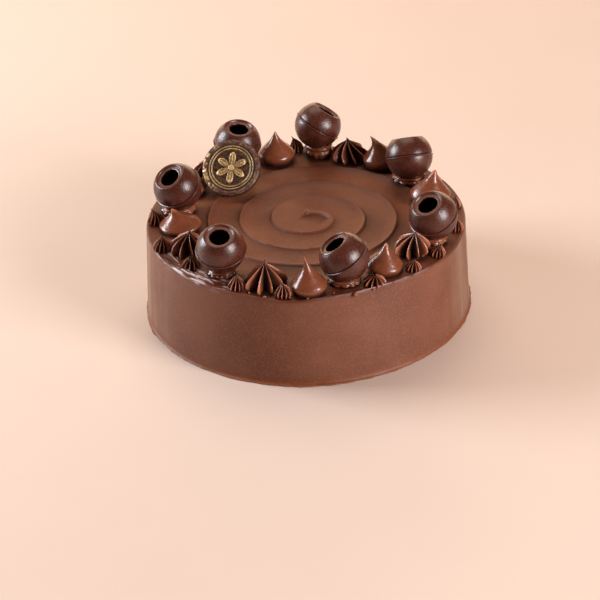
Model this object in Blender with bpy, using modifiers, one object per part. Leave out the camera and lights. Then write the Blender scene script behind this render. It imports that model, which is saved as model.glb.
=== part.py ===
"""Round chocolate cake, frosted with ganache and crowned with piped chocolate and hollow truffles.

Metres, +Z up.  The origin is the middle of the cake's underside, and the front faces -Y.
Sizes are written in millimetres and scaled once, by MM.  Places on the top are x (right)
and y (back) from the middle of the cake, and heights there are taken from the flat top.
"""
from math import atan2, cos, exp, floor, hypot, pi, radians, sin, sqrt, tau

import bmesh
import bpy
from mathutils import Vector

MM = 0.001
GAP = 0.3                      # air left between solids that touch

# Cake: a drum that narrows a little towards its top, on a thin smear of ganache.
CAKE_HEIGHT = 50.5
FOOT_RADIUS = 90.0
FOOT_HEIGHT = 1.6
WALL_BASE_RADIUS = 88.4
RIM_RADIUS = 86.3
RIM_ROUNDING = 2.2
CAKE_SEGMENTS = 64
FOOT_SWELLS = ((-90, 1.0, 17), (90, 1.0, 17), (-160, 0.8, 9))     # angle, swell, half width
RIM_SAGS = ((-98, 1.6, 9), (-27, 1.5, 11))                       # angle, sag, half width
RIM_PULLS = ((-64, 1.2, 14),)                                     # angle, pull inward, half width

# Spiral that the spatula leaves in the top: it winds outward clockwise, seen from above.
SWIRL_CENTRE = (2.9, 1.1)
SWIRL_PITCH = 17.2
SWIRL_INSET = 5.0
SWIRL_DEPTH = 1.4
SWIRL_STEP = 0.5               # share of the depth that drops at once, just outside the crest
SWIRL_START = 236              # degrees wound, from the +X axis
SWIRL_END = 1425
SWIRL_FADE = 30
SWIRL_EYE = 8.0
TOP_STEP = 2.9                 # spacing of the rings that carry the spiral
TOP_RINGS = 23

# Hollow chocolate truffles: an opened ball, cut flat, with a dished ring round its hole.
TRUFFLE_RADIUS = 13.0
TRUFFLE_WALL = 1.7
TRUFFLE_FLAT = 0.77              # height of the flat's edge, as a share of the radius
TRUFFLE_HOLE = 0.405             # radius of the hole, as a share of the radius
TRUFFLE_DISH = 0.70              # height of the hole's edge, as a share of the radius
TRUFFLE_SEGMENTS = 16
TRUFFLES = {                     # x, y, height of the middle, tilt of the hole and its direction
    "back_left": (-36.4, 61.5, 16.2, 11, -52),
    "back": (8.9, 76.4, 17.5, 35.6, 18.4),
    "back_right": (58.4, 41.4, 14.0, 29.3, 100.3),
    "right": (67.3, -29.3, 14.8, 27, -135),
    "front_right": (19.0, -68.7, 14.0, 30.3, 180),
    "front_left": (-44.6, -55.2, 14.4, 20, -96),
    "left": (-69.0, 15.3, 14.0, 32, -139),
}

# Dollops that the truffles are pressed into.
DOLLOP_COLLAR = 3.4            # how far the squeezed collar rises above the truffle's lowest point
DOLLOP_SEGMENTS = 14
DOLLOPS = {                    # greatest radius
    "back_left": 8.5,
    "back": 7.8,
    "back_right": 9.5,
    "right": 7.6,
    "front_right": 8.7,
    "front_left": 7.7,
    "left": 9.8,
}

# Smooth piped drops.
DROP_OUTLINE = (               # shares of the height, and of the radius there
    (1.0, 0.0), (0.9, 0.05), (0.8, 0.10), (0.65, 0.24), (0.49, 0.48),
    (0.33, 0.77), (0.2, 1.0), (0.08, 0.97), (0.0, 0.80),
)
DROP_SEGMENTS = 14
DROPS = {                     # x, y, radius, height, lean of the tip in x and y, fullness
    "front": (0.2, -76.7, 9.5, 19.6, -1.7, 0.0, 1.0),
    "front_right": (40.3, -58.9, 9.4, 15.8, 1.0, 0.0, 1.3),
    "right": (68.8, 16.4, 10.8, 17.6, 2.6, 0.0, 1.6),
    "back_right": (44.2, 60.4, 9.7, 17.4, -6.8, 0.0, 1.2),
    "back_left": (-15.3, 71.6, 10.4, 17.2, 0.0, 0.0, 1.25),
    "left_back": (-63.4, 37.6, 9.4, 14.0, 1.0, 0.0, 1.3),
    "left": (-68.2, -5.9, 10.7, 11.6, -3.2, 0.0, 1.7),
}

# Ridged stars: fins that meet in a tip, piped through a toothed nozzle.
STAR_BELLY = 0.12              # height of the widest ring, as a share of the height
STAR_TUCK = 0.92               # radius at the base, as a share of the widest
STAR_POWER = 1.2               # how soon a star narrows above its widest ring
STAR_LEVELS = 7
LARGE_FINS = 9
LARGE_GROOVE = 0.34            # depth of the grooves, as a share of the radius
SMALL_FINS = 10
SMALL_GROOVE = 0.26
LARGE_STARS = {                # x, y, radius, height, lean of the tip in x and y
    "right": (55.1, -42.9, 9.5, 13.3, 2.6, 0.0),
    "back": (26.4, 70.3, 10.3, 12.1, -1.6, 0.0),
    "left_back": (-53.3, 54.0, 9.3, 12.0, 0.8, 0.0),
    "left": (-63.2, -30.6, 9.2, 12.4, 2.2, 0.0),
    "front_left": (-22.3, -69.6, 10.6, 15.0, 0.4, 0.0),
}
SMALL_STARS = {
    "01": (33.9, -72.4, 5.2, 6.7, 1.2, -2.0),
    "02": (55.0, -59.9, 4.1, 6.5, 1.0, 0.0),
    "03": (68.6, -44.9, 3.7, 6.7, 2.6, 0.0),
    "04": (81.0, 6.9, 3.4, 6.9, 1.2, 0.0),
    "05": (80.4, -18.9, 3.3, 8.0, 0.0, 0.0),
    "06": (71.6, 32.4, 4.0, 8.5, 2.6, 0.0),
    "07": (-3.8, 80.6, 3.8, 9.2, -2.8, 0.0),
    "08": (-81.0, 2.2, 3.8, 8.8, -3.0, 0.0),
    "09": (-76.8, -28.0, 4.5, 8.2, 0.4, 0.0),
    "10": (-60.6, -47.8, 4.9, 7.0, -1.0, 0.0),
    "11": (-36.8, -71.5, 4.4, 8.3, 0.0, 0.0),
    "12": (-12.8, -80.5, 4.2, 7.5, -0.8, 0.0),
}

# Chocolate seal that leans back on a truffle.
SEAL_RADIUS = 16.4
SEAL_THICKNESS = 3.6
SEAL_RECESS = 0.8
SEAL_FACE_RADIUS = 12.6
SEAL_EDGE_ROUNDING = 0.9
SEAL_FACES = (45, -103)        # rise of its face above the horizon, and direction it faces
SEAL_PLACE = (-40.0, 35.4)
SEAL_SEGMENTS = 24

COLOURS = {
    "frosting": ((0.165, 0.070, 0.038, 1.0), 0.50),
    "truffle": ((0.062, 0.022, 0.015, 1.0), 0.38),
    "piping": ((0.120, 0.040, 0.020, 1.0), 0.25),
    "seal": ((0.060, 0.030, 0.018, 1.0), 0.45),
}


def clear_scene():
    for old in list(bpy.data.objects):
        bpy.data.objects.remove(old, do_unlink=True)


def chocolate(name):
    """Principled material of one kind of chocolate."""
    colour, roughness = COLOURS[name]
    material = bpy.data.materials.new(name)
    material.use_nodes = True
    shader = material.node_tree.nodes["Principled BSDF"]
    shader.inputs["Base Color"].default_value = colour
    shader.inputs["Roughness"].default_value = roughness
    shader.inputs["Metallic"].default_value = 0.0
    return material


def place(name, mesh, kind, location=(0.0, 0.0, 0.0)):
    """Object of its own name and material, in the cake's collection."""
    mesh.shade_smooth()
    mesh.set_sharp_from_angle(angle=radians(38))
    part = bpy.data.objects.new(name, mesh)
    part.data.materials.append(chocolate(kind))
    part.location = Vector(location) * MM
    CAKE_PARTS.objects.link(part)
    return part


def turned(name, profile, segments):
    """Mesh of a profile of (radius, height) turned about Z, given from the top outward and down."""
    line = bmesh.new()
    points = [line.verts.new((radius * MM, 0.0, height * MM)) for radius, height in profile]
    for upper, lower in zip(points, points[1:]):
        line.edges.new((upper, lower))
    outline = bpy.data.meshes.new(name + "_outline")
    line.to_mesh(outline)
    line.free()
    guide = bpy.data.objects.new(name + "_guide", outline)
    bpy.context.scene.collection.objects.link(guide)
    screw = guide.modifiers.new("Turn", "SCREW")
    screw.axis = "Z"
    screw.steps = segments
    screw.render_steps = segments
    screw.use_merge_vertices = True
    screw.merge_threshold = 0.00001
    evaluated = guide.evaluated_get(bpy.context.evaluated_depsgraph_get())
    mesh = bpy.data.meshes.new_from_object(evaluated)
    mesh.name = name
    bpy.data.objects.remove(guide, do_unlink=True)
    return mesh


def reshape(mesh, move):
    """Move each vertex by a function of its place in millimetres."""
    for vertex in mesh.vertices:
        vertex.co = Vector(move(*(vertex.co / MM))) * MM


def bell(angle, centre, width):
    """Smooth bump of height 1 round one angle, in degrees."""
    off = (angle - centre + 180) % 360 - 180
    return exp(-(off / width) ** 2)


def swirl_height(x, y):
    """Depth of the spatula's spiral below the flat top, zero or less."""
    east, north = x - SWIRL_CENTRE[0], y - SWIRL_CENTRE[1]
    radius = hypot(east, north)
    turn = (atan2(north, east) / tau) % 1.0
    wound = (radius + SWIRL_INSET) / SWIRL_PITCH + turn
    across = wound - floor(wound)
    crest = 360 * (floor(wound) - turn)
    fade = min(1.0, max(0.0, (crest - SWIRL_START) / SWIRL_FADE))
    fade *= min(1.0, max(0.0, (SWIRL_END - crest) / SWIRL_FADE))
    eye = min(1.0, radius / SWIRL_EYE)
    if across < 0.5:
        scoop = 1.0 - (1.0 - SWIRL_STEP) * (1.0 - 2.0 * across) ** 2
    else:
        scoop = 1.0 - (2.0 * across - 1.0) ** 2.4
    return -SWIRL_DEPTH * fade * eye * scoop


def cake_profile():
    """Flat top, rounded rim, plain wall, smeared foot and flat underside."""
    points = [(ring * TOP_STEP, CAKE_HEIGHT) for ring in range(TOP_RINGS + 1)]
    points += [(76.0, CAKE_HEIGHT)]
    for quarter in (0, 30, 60, 90):
        out = RIM_RADIUS - RIM_ROUNDING * (1 - sin(radians(quarter)))
        up = CAKE_HEIGHT - RIM_ROUNDING * (1 - cos(radians(quarter)))
        points.append((out, up))
    points += [(0.5 * (RIM_RADIUS + WALL_BASE_RADIUS), 0.5 * CAKE_HEIGHT)]
    points += [(WALL_BASE_RADIUS, FOOT_HEIGHT + 1.2), (FOOT_RADIUS - 0.3, FOOT_HEIGHT)]
    points += [(FOOT_RADIUS, 0.5 * FOOT_HEIGHT), (FOOT_RADIUS - 0.2, 0.0), (0.0, 0.0)]
    return points


def uneven_cake(x, y, z):
    """Hand-spread surface: the top's spiral, a rim that droops, a foot that swells."""
    radius = hypot(x, y)
    if radius < 1e-6:
        return x, y, z
    angle = atan2(y, x) * 180 / pi
    near_rim = max(0.0, (radius - 76.0) / (RIM_RADIUS - 76.0))
    high = max(0.0, (z - 0.5 * CAKE_HEIGHT) / (0.5 * CAKE_HEIGHT))
    low = 1.0 if z < FOOT_HEIGHT + 0.1 and radius > WALL_BASE_RADIUS else 0.0
    outward = low * sum(swell * bell(angle, at, wide) for at, swell, wide in FOOT_SWELLS)
    if near_rim > 0.0:
        outward -= high * near_rim * sum(pull * bell(angle, at, wide) for at, pull, wide in RIM_PULLS)
        z -= high * near_rim * sum(sag * bell(angle, at, wide) for at, sag, wide in RIM_SAGS)
    elif z > 0.5 * CAKE_HEIGHT:
        z += swirl_height(x, y)
    scale = (radius + outward) / radius
    return x * scale, y * scale, z


def truffle_profile():
    """Inside of the wall from its lowest point up to the hole, then the outside back down."""
    inner = TRUFFLE_RADIUS - TRUFFLE_WALL
    lid = TRUFFLE_DISH * TRUFFLE_RADIUS - TRUFFLE_WALL
    hole = TRUFFLE_HOLE * TRUFFLE_RADIUS
    corner = sqrt(inner ** 2 - lid ** 2)
    points = [(inner * sin(radians(a)), -inner * cos(radians(a))) for a in (0, 35, 65, 95)]
    points += [(corner, lid), (hole + 0.3, lid), (hole, TRUFFLE_DISH * TRUFFLE_RADIUS)]
    edge = sqrt(1 - TRUFFLE_FLAT ** 2)
    points.append((0.93 * edge * TRUFFLE_RADIUS, (TRUFFLE_FLAT - 0.01) * TRUFFLE_RADIUS))
    first = 180 / pi * atan2(edge, TRUFFLE_FLAT)
    for step in range(7):
        angle = radians(first + (180 - first) * step / 6)
        points.append((TRUFFLE_RADIUS * sin(angle), TRUFFLE_RADIUS * cos(angle)))
    return points


def make_truffle(name, x, y, height, tilt, direction):
    mesh = turned(name, truffle_profile(), TRUFFLE_SEGMENTS)
    truffle = place(name, mesh, "truffle", (x, y, CAKE_HEIGHT + height))
    truffle.rotation_euler = (0.0, radians(tilt), radians(direction))
    return truffle


def make_dollop(name, x, y, height, radius):
    """Squeezed blob with a hollow in its top that fits the truffle's underside."""
    seat = TRUFFLE_RADIUS + GAP + 0.15
    lowest = height - seat
    collar = max(lowest, 0.9) + DOLLOP_COLLAR
    inside = sqrt(seat ** 2 - (height - collar) ** 2)
    shares = (0.0, 0.4, 0.75, 1.0)
    points = [(inside * share, height - sqrt(seat ** 2 - (inside * share) ** 2)) for share in shares]
    top = 0.5 * (inside + radius)
    points += [(max(top, inside + 0.4), collar - 0.3), (radius, 0.6 * collar)]
    points += [(radius, 0.3 * collar), (0.9 * radius, GAP), (0.0, GAP)]
    mesh = turned(name, points, DOLLOP_SEGMENTS)
    return place(name, mesh, "piping", (x, y, CAKE_HEIGHT))


def leaning(height, lean_x, lean_y):
    """Function that bends a piped form's tip sideways, more towards the top."""
    def move(x, y, z):
        bend = max(0.0, z / height - 0.3) / 0.7
        return x + lean_x * bend ** 2, y + lean_y * bend ** 2, z
    return move


def star_radius(share):
    """Radius of a star's fins at a share of its height, as a share of its widest."""
    if share < STAR_BELLY:
        return STAR_TUCK + (1 - STAR_TUCK) * sin(0.5 * pi * share / STAR_BELLY)
    rise = (share - STAR_BELLY) / (1 - STAR_BELLY)
    return max(0.0, 1 - rise ** 2) ** STAR_POWER


def make_drop(name, x, y, radius, height, lean_x, lean_y, fullness):
    """Smooth piped drop that ends in a fine tip; a fuller one keeps its width further up."""
    points = [(radius * wide ** (1.0 / fullness), share * height) for share, wide in DROP_OUTLINE]
    points.append((0.0, 0.0))
    mesh = turned(name, points, DROP_SEGMENTS)
    reshape(mesh, leaning(height, lean_x, lean_y))
    return place(name, mesh, "piping", (x, y, CAKE_HEIGHT + GAP))


def make_star(name, x, y, radius, height, lean_x, lean_y, fins, groove):
    """Ridged rosette: a sphere's rings are set to a star outline that closes in a tip."""
    ball = bmesh.new()
    bmesh.ops.create_uvsphere(ball, u_segments=2 * fins, v_segments=STAR_LEVELS, radius=1.0)
    lean = leaning(height, lean_x, lean_y)
    for vertex in ball.verts:
        around = atan2(vertex.co.y, vertex.co.x)
        down = 0.5 * (1.0 - vertex.co.z)
        share = 1.0 - min(1.0, 1.06 * down)
        if hypot(vertex.co.x, vertex.co.y) < 1e-4:
            wide = 0.0
        else:
            wide = radius * star_radius(share)
            wide *= 1.0 - groove * (0.5 - 0.5 * cos(fins * (around - 0.5 * pi)))
        moved = lean(wide * cos(around), wide * sin(around), share * height)
        vertex.co = Vector(moved) * MM
    mesh = bpy.data.meshes.new(name)
    ball.to_mesh(mesh)
    ball.free()
    return place(name, mesh, "piping", (x, y, CAKE_HEIGHT + GAP))


def make_seal(name):
    """Thick disc with a recessed face, standing on its edge and leaning back."""
    rounding = SEAL_EDGE_ROUNDING
    points = [(0.0, -SEAL_RECESS), (SEAL_FACE_RADIUS, -SEAL_RECESS), (SEAL_FACE_RADIUS + 0.6, 0.0)]
    for quarter in (0, 45, 90):
        out = SEAL_RADIUS - rounding * (1 - sin(radians(quarter)))
        points.append((out, -rounding * (1 - cos(radians(quarter)))))
    points += [(SEAL_RADIUS, 0.4 - SEAL_THICKNESS), (SEAL_RADIUS - 0.4, -SEAL_THICKNESS)]
    points += [(0.0, -SEAL_THICKNESS)]
    mesh = turned(name, points, SEAL_SEGMENTS)
    rise, direction = (radians(angle) for angle in SEAL_FACES)
    middle = SEAL_RADIUS * cos(rise) + SEAL_THICKNESS * sin(rise) + GAP
    seal = place(name, mesh, "seal", (*SEAL_PLACE, CAKE_HEIGHT + middle))
    seal.rotation_euler = (0.0, 0.5 * pi - rise, direction)
    return seal


def make_cake(name):
    mesh = turned(name, cake_profile(), CAKE_SEGMENTS)
    reshape(mesh, uneven_cake)
    return place(name, mesh, "frosting")


clear_scene()
CAKE_PARTS = bpy.data.collections.new("chocolate_cake")
bpy.context.scene.collection.children.link(CAKE_PARTS)

make_cake("cake")
for spot, (x, y, height, tilt, direction) in TRUFFLES.items():
    make_truffle("truffle_" + spot, x, y, height, tilt, direction)
    make_dollop("dollop_" + spot, x, y, height, DOLLOPS[spot])
for spot, numbers in DROPS.items():
    make_drop("drop_" + spot, *numbers)
for spot, numbers in LARGE_STARS.items():
    make_star("star_" + spot, *numbers, LARGE_FINS, LARGE_GROOVE)
for spot, numbers in SMALL_STARS.items():
    make_star("small_star_" + spot, *numbers, SMALL_FINS, SMALL_GROOVE)
make_seal("seal")
bpy.context.view_layer.update()
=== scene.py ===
"""Looks of the round chocolate cake: a finely shaped piece stands in for every solid of the frame.

Sizes are written in millimetres, as in the part's own source, and MM turns them into metres.
Angles round the cake are in degrees from +X, and the front faces -Y.  Places on the top are
x (right) and y (back) from the middle of the cake, and heights there start at its flat level.
"""
from itertools import product
from math import acos, cos, degrees, pi, radians, sin, sqrt, tau

import bpy
import numpy as np
from mathutils import Matrix, Vector


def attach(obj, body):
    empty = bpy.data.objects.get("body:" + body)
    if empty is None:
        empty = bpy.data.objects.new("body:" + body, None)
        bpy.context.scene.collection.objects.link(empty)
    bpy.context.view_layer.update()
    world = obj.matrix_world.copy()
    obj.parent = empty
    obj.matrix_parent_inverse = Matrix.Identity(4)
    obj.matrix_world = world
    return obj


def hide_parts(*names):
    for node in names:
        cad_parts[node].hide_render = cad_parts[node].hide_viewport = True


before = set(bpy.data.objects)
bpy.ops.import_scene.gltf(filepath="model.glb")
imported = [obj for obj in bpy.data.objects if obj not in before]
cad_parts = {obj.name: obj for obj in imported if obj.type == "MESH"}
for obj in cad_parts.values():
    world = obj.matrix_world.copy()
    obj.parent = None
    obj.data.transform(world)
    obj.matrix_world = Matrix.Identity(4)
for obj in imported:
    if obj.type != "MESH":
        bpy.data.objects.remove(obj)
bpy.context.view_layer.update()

MM = 0.001
GAP = 0.3                      # air that the frame's solids leave between each other
SINK = 0.9                     # how far piped pieces reach down into the cake's surface

# Cake: a drum that narrows a little towards its top, on a thin smear of ganache.
CAKE_HEIGHT = 50.5
FOOT_RADIUS = 90.0
FOOT_HEIGHT = 1.6
WALL_BASE_RADIUS = 88.4
RIM_RADIUS = 86.3
RIM_ROUNDING = 1.3
FOOT_SWELLS = ((-90, 1.0, 17), (90, 1.0, 17), (-160, 0.8, 9))     # angle, swell, half width
RIM_SAGS = ((-98, 1.6, 9), (-27, 1.5, 11))                       # angle, sag, half width
RIM_PULLS = ((-64, 1.2, 14),)                                     # angle, pull inward, half width
RIM_LIPS = ((-140, 0.5, 22), (-63, 1.0, 21), (30, 0.3, 60))       # angle, height, half width
LIP_INSET = 0.9                # how far inside the rim its thin lip stands
LIP_WIDTH = 0.7
RIM_BAND = 76.0                # where the darker band round the rim begins
WET_BAND = (-137, 22)          # angle and half width of the rough, wet stretch of that band
STREAK_HEIGHT = 0.36           # of the ganache dragged up in that stretch
FOOT_RAGGEDNESS = 0.45
CAKE_POINTS = 640              # round the side; fewer near the middle of the top
TOP_RINGS = (                  # points round, the radius that they reach, step between the rings
    (80, 5, 0.5),
    (160, 20, 0.5),
    (320, 41, 0.6),
    (CAKE_POINTS, 79, 0.62),
    (CAKE_POINTS, RIM_RADIUS - RIM_ROUNDING, 0.42),
)
WALL_STEP = 1.8

# Spiral that the spatula leaves in the top: it winds outward clockwise, seen from above.
SWIRL_CENTRE = (2.4, 1.2)
SWIRL_PITCH = 17.2
SWIRL_INSET = 5.0
SWIRL_DEPTH = 1.7
SWIRL_STEP = 0.6               # share of the depth that drops at once, just outside the crest
SWIRL_EDGE = 0.035             # share of the pitch in which it drops
SWIRL_START = 219              # degrees wound, from the +X axis
SWIRL_END = 1425
SWIRL_FADE = 30
SWIRL_HOOK = 110               # degrees in which the spiral starts from nothing
SWIRL_EYE = 3.0
PAINTED_SHADE_OUTSIDE = 0.17            # shares of the pitch in which the painted shade beside the crest fades
PAINTED_SHADE_INSIDE = 0.20

# Scoop in the spiral's eye, where the spatula was lifted: its sharp edge runs between two places.
SCOOP_ENDS = ((0.7, 7.2), (14.6, -0.4))
SCOOP_BULGE = 2.0              # how far the edge bends out between them
SCOOP_WIDTH = 12.5
SCOOP_DEPTH = 1.6
SCOOP_SLOPE = 0.7              # how wide the edge's inner slope is
SCOOP_LIP = 0.45
HOOK_HEIGHT = 1.8
HOOK_LENGTH = 1.3
HOOK_WIDTH = 0.7

# Hollow chocolate truffles: an opened ball, cut flat, with a dished ring round its hole.
TRUFFLE_RADIUS = 13.0
TRUFFLE_INSIDE = TRUFFLE_RADIUS - 1.7
FLAT_SHARE = 0.77              # height of the flat's edge, as a share of the radius
FLAT_HEIGHT = FLAT_SHARE * TRUFFLE_RADIUS
FLAT_RADIUS = TRUFFLE_RADIUS * sqrt(1 - FLAT_SHARE ** 2)
HOLE_RADIUS = 0.405 * TRUFFLE_RADIUS
DISH_HEIGHT = 0.70 * TRUFFLE_RADIUS
LID_HEIGHT = DISH_HEIGHT - 1.7
HOLE_PROFILE = (               # outward from the hole's edge, and up from the dish
    (0.0, -0.40), (0.06, -0.12), (0.2, 0.0), (0.9, -0.02), (1.6, -0.10),
)
SHOULDER_PROFILE = (           # outward and up from the flat's edge
    (-1.3, -0.95), (-1.0, -0.45), (-0.80, -0.06), (-0.45, 0.12), (0.0, 0.0),
)
SEAM_ZONE = (86.0, 95.0)       # degrees from the hole between which the rings lie close together
SEAM_RELIEF = ((91.6, 0.48, 1.4), (89.1, -0.70, 1.0))            # degrees, height, width in degrees
SEAM_PAINTED_HIGHLIGHT = (91.4, 0.9)       # degrees from the hole, and width, of the painted highlight along the seam's ridge
# Degrees from the hole, and width, of the painted shade in the seam's groove.
SEAM_PAINTED_SHADE = (89.1, 0.9)
TRUFFLE_POINTS = 144
TRUFFLES = {                   # x, y, height of the middle, tilt of the hole and its direction
    "back_left": (-36.4, 61.5, 16.2, 11, -52),
    "back": (8.9, 76.4, 17.5, 35.6, 18.4),
    "back_right": (58.4, 41.4, 14.0, 29.3, 100.3),
    "right": (67.3, -29.3, 14.8, 27, -135),
    "front_right": (19.0, -68.7, 14.0, 30.3, 180),
    "front_left": (-44.6, -55.2, 14.4, 20, -96),
    "left": (-69.0, 15.3, 14.0, 32, -139),
}

# Dollops that the truffles are pressed into.
DOLLOP_COLLAR = 3.4            # how far the squeezed collar rises above the truffle's lowest point
DOLLOP_FOLDS = 2               # folds one above the other
DOLLOP_FOLD_DEPTH = 0.5
DOLLOP_LOBES = 11              # folds round it
DOLLOPS = {                    # greatest radius
    "back_left": 8.5,
    "back": 7.8,
    "back_right": 9.5,
    "right": 7.6,
    "front_right": 8.7,
    "front_left": 7.7,
    "left": 9.8,
}

# Smooth piped drops.
PIPED_POINTS = 120             # round a drop or dollop
DROP_STEP = 0.018              # share of the height between rings
DROP_OUTLINE = (               # shares of the height, and of the radius there
    (1.0, 0.0), (0.9, 0.05), (0.8, 0.10), (0.65, 0.24), (0.49, 0.48),
    (0.33, 0.77), (0.2, 1.0), (0.08, 0.97), (0.0, 0.80),
)
DROPS = {                      # x, y, radius, height, lean of the tip in x, fullness
    "front": (0.2, -76.7, 9.5, 19.6, -1.7, 1.0),
    "front_right": (40.3, -58.9, 9.4, 15.8, 1.0, 1.4),
    "right": (68.8, 16.4, 10.8, 17.6, 2.6, 1.6),
    "back_right": (43.1, 60.4, 9.9, 17.4, -5.4, 1.3),
    "back_left": (-15.3, 71.6, 10.4, 17.2, 0.0, 1.25),
    "left_back": (-63.4, 37.6, 9.4, 14.0, 1.0, 1.3),
    "left": (-68.2, -5.9, 10.7, 12.0, -3.4, 1.45),
}
LOBE_PLACE = (0.42, 0.24)      # share of the height where the shoulder swells, and its half width
DROP_LOBES = {                 # swelling of one shoulder, and the direction that it faces
    "front": (0.04, -30),
    "front_right": (0.20, 165),
    "right": (0.16, 190),
    "back_right": (0.06, 0),
    "back_left": (0.08, 0),
    "left_back": (0.05, 0),
    "left": (0.36, 10),
}

# Ridged stars: fins that meet in a tip, piped through a toothed nozzle.
LARGE_FINS = 9
SMALL_FINS = 11
LARGE_DEPTH = 0.68             # depth of the grooves, as a share of the radius
SMALL_DEPTH = 0.62
POINTS_PER_FIN = 20
STAR_STEP = 0.024              # share of the height between rings
LARGE_STARS = {                # x, y, radius, height, lean of the tip in x and y
    "right": (55.1, -42.9, 9.5, 13.3, 2.6, 0.0),
    "back": (26.4, 70.3, 10.3, 12.1, -1.6, 0.0),
    "left_back": (-53.3, 54.0, 9.3, 12.0, 0.8, 0.0),
    "left": (-63.2, -30.6, 9.6, 12.4, 2.2, 0.0),
    "front_left": (-22.3, -69.6, 11.0, 15.0, 0.4, 0.0),
}
# How soon it narrows, twist of its tip in degrees and lift of its back fins; then the height of its
# widest ring as a share of its height, and the radius of its base as a share of the widest.
STAR_STYLES = {
    "right": (0.95, 0, 0.0, 0.26, 0.74),
    "back": (1.25, -34, 0.0, 0.08, 0.94),
    "left_back": (1.3, 8, 0.0, 0.08, 0.94),
    "left": (1.25, -6, 2.4, 0.08, 0.94),
    "front_left": (1.45, 4, 0.0, 0.08, 0.94),
}
SMALL_STYLE = (1.4, 14, 0.0, 0.10, 0.90)
SMALL_STARS = {                # as the large ones
    "01": (33.9, -72.4, 6.0, 6.2, 1.0, -2.4),
    "02": (55.0, -59.9, 4.2, 6.5, 1.0, 0.0),
    "03": (68.6, -44.9, 4.0, 6.7, 2.8, 0.0),
    "04": (81.0, 6.9, 3.5, 6.9, 1.2, 0.0),
    "05": (80.4, -18.9, 3.6, 8.0, 0.0, 0.0),
    "06": (70.6, 32.8, 5.4, 8.8, 1.4, 0.0),
    "07": (-3.8, 80.6, 4.1, 9.2, -2.8, 0.0),
    "08": (-80.6, 1.6, 4.7, 8.8, -3.2, 0.0),
    "09": (-76.8, -28.0, 4.8, 8.2, 0.4, 0.0),
    "10": (-60.6, -47.8, 4.9, 7.0, -1.0, 0.0),
    "11": (-36.8, -71.5, 4.5, 8.3, 0.0, 0.0),
    "12": (-12.8, -80.5, 4.4, 7.5, -0.8, 0.0),
}

# Loose crumbs and flecks of ganache that lie on the cake's top: x, y and size.
CRUMBS = (
    (-22.5, -82.0, 0.8), (-9.8, -83.6, 0.9), (-0.6, -85.3, 0.9), (24.0, -83.0, 1.5), (25.4, 7.6, 0.7),
    (27.6, -24.0, 0.8), (33.5, -79.0, 0.6), (44.0, -72.5, 0.7), (53.0, -66.0, 0.6), (-30.5, -77.5, 0.8),
    (-39.5, -73.0, 0.6), (-49.0, -66.5, 0.9), (-58.5, -58.0, 0.7), (-67.0, -49.5, 0.8), (13.0, -80.6, 0.7),
)
CRUMB_RINGS = ((0, 1), (45, 8), (90, 12), (135, 8), (180, 1))     # degrees from the top, points
CRUMB_RISE = 0.1               # of a crumb's middle above the cake's top

# Chocolate seal that leans back on a truffle.
SEAL_RADIUS = 16.4
SEAL_THICKNESS = 3.6
SEAL_ROUNDING = 0.3
SEAL_RECESS = 0.8
SEAL_FACE_RADIUS = 12.6
SEAL_RISE = 45                 # degrees that its face looks up from the horizon
SEAL_DIRECTION = -103
SEAL_PLACE = (-40.0, 35.4)
SEAL_POINTS = 216
SEAL_RINGS = ((-0.25, 0.34), (-1.7, 0.28))                       # place from the face's edge, width
RING_HEIGHT = 0.45
BORDER_HALF_WIDTH = 2.0
PETALS = 6
PETAL_REACH = 8.6
BUTTON_RADIUS = 1.9
FLOWER_HEIGHT = 0.55

# Camera, fitted to the cake in the photograph, whose frame is square.
IMAGE_SIZE = 600
FOCAL_PIXELS = 2500
SENSOR_WIDTH = 36.0
CAMERA_PLACE = (0.0, -1186.11, 701.58)
CAMERA_TARGET = (-4.84, 0.0, -0.70)
CAMERA_ROLL = -2.32

# Lights: name, direction, height above the horizon, distance, width, height, watts, colour
LIGHTS = (
    ("left_softbox", 166, 22, 1300, 620, 620, 28.0, (0.92, 0.95, 1.0)),
    ("right_softbox", -39, 22, 1300, 580, 580, 26.0, (1.0, 0.93, 0.93)),
    ("top_softbox", 100, 62, 1400, 1000, 1000, 9.0, (1.0, 0.82, 0.66)),
    ("backdrop", 90, 13, 1500, 2400, 720, 16.0, (1.0, 0.68, 0.46)),
)
SKY_COLOUR = (1.0, 0.52, 0.30)
SKY_STRENGTH = 0.14
FLOOR_RINGS = (0.0, 200.0, 500.0, 1200.0, 3000.0)
FLOOR_POINTS = 64
FLOOR_HEIGHT = -0.2

# Colours of the ganache coat; a pair is the darkest and the lightest.
GANACHE_TOP = ((0.114, 0.028, 0.008), (0.160, 0.046, 0.016))
# The wall's pair is greyer than the top's, partly as a painted cool sheen.
GANACHE_WALL = ((0.099, 0.031, 0.015), (0.141, 0.051, 0.027))
GANACHE_GRAIN = (0.205, 0.080, 0.040)
# Painted shade beside the spiral's crests and in the scoop's hollow.
GANACHE_TROUGH_SHADE = (0.062, 0.014, 0.006)
# Painted highlight along the spiral's crests and the scoop's edge.
GANACHE_CREST_HIGHLIGHT = (0.240, 0.110, 0.062)
GANACHE_BAND = (0.075, 0.017, 0.006)
GANACHE_SHADE = (0.012, 0.004, 0.003)
GANACHE_FOOT = (0.190, 0.064, 0.026)
# Painted whitish sheen on the wet stretch and along the lip.
GANACHE_WET_SHEEN = (0.46, 0.38, 0.39)
# Painted sheen where the wall is seen at a grazing angle.
GANACHE_SHEEN = (0.290, 0.215, 0.150)

# Colours of the truffles, the piping, the seal and the floor.
SHELL = ((0.037, 0.009, 0.005), (0.072, 0.019, 0.011))
# Lighter chocolate of the flat ring round the hole, and the painted highlight along the seam.
SHELL_RING_AND_HIGHLIGHT = (0.100, 0.026, 0.014)
SHELL_FLECK = (0.150, 0.062, 0.048)
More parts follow.
